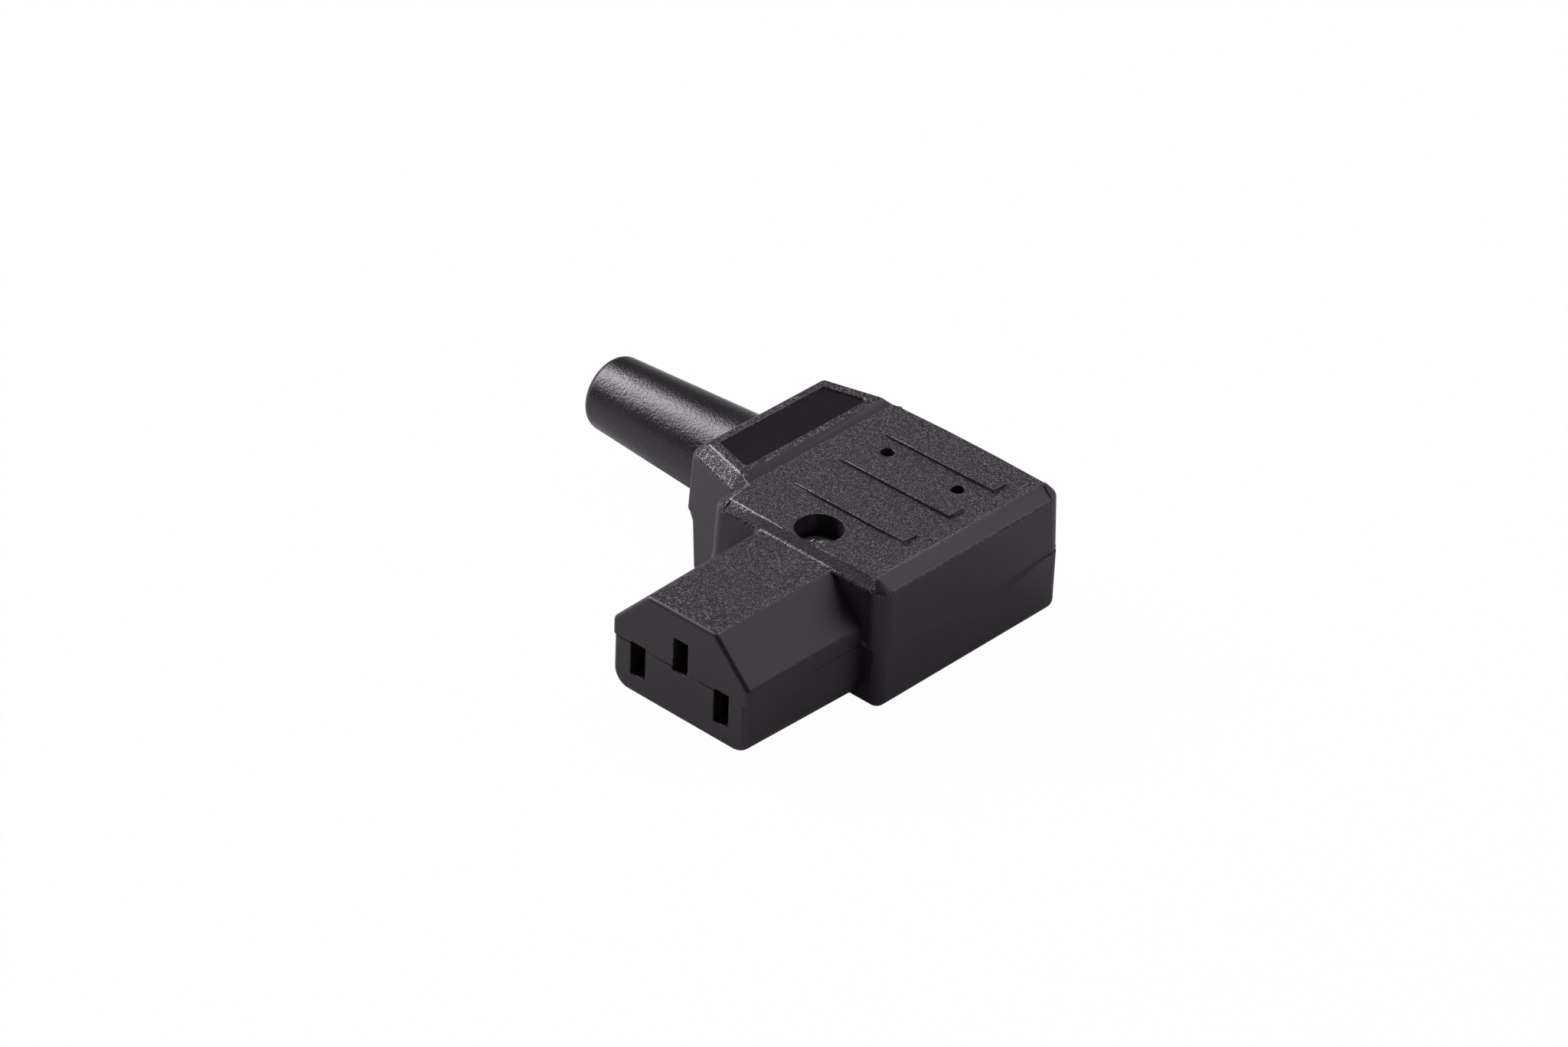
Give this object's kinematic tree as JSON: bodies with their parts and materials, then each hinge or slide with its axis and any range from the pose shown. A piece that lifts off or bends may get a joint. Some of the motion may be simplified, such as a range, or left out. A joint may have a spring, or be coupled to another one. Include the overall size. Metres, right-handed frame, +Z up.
{
  "type": "appliance power connector",
  "caption": "Right-angled rewirable appliance connector: two-part moulded housing with a slotted nose, a flared cord neck, a soft tapered sleeve, and contacts, terminals and a cord grip inside",
  "frame": {"origin": "on the flat underside of the housing, below the middle of the main block", "axes": "the appliance inlet's pins enter along +Y, so the nose points to -Y; the cord leaves along -X; +Z is up, from the base to the cover"},
  "size_m": [0.0647, 0.054, 0.0188],
  "materials": {
    "housing": "black moulded thermoplastic, spark-eroded grain on the top faces and satin on the sides",
    "sleeve": "soft black plastic, satin",
    "grip": "black moulded nylon",
    "plated_steel": "zinc-plated steel",
    "dark_screw": "dark plated steel with a worn cross recess",
    "spring_steel": "plain spring steel",
    "brass": "stamped and machined brass, dull"
  },
  "bodies": {
    "root": {"base_shell": "housing", "cover_shell": "housing", "bend_relief_sleeve": "sleeve", "cord_grip_bar": "grip", "cord_grip_screws": "plated_steel", "cover_screw": "dark_screw", "cover_nut": "plated_steel", "terminal_screws": "plated_steel", "line_contact": "brass", "line_contact_clip": "spring_steel", "line_terminal": "brass", "neutral_contact": "brass", "neutral_contact_clip": "spring_steel", "neutral_terminal": "brass", "earth_contact": "brass", "earth_contact_clip": "spring_steel", "earth_terminal": "brass"}
  },
  "joints": []
}
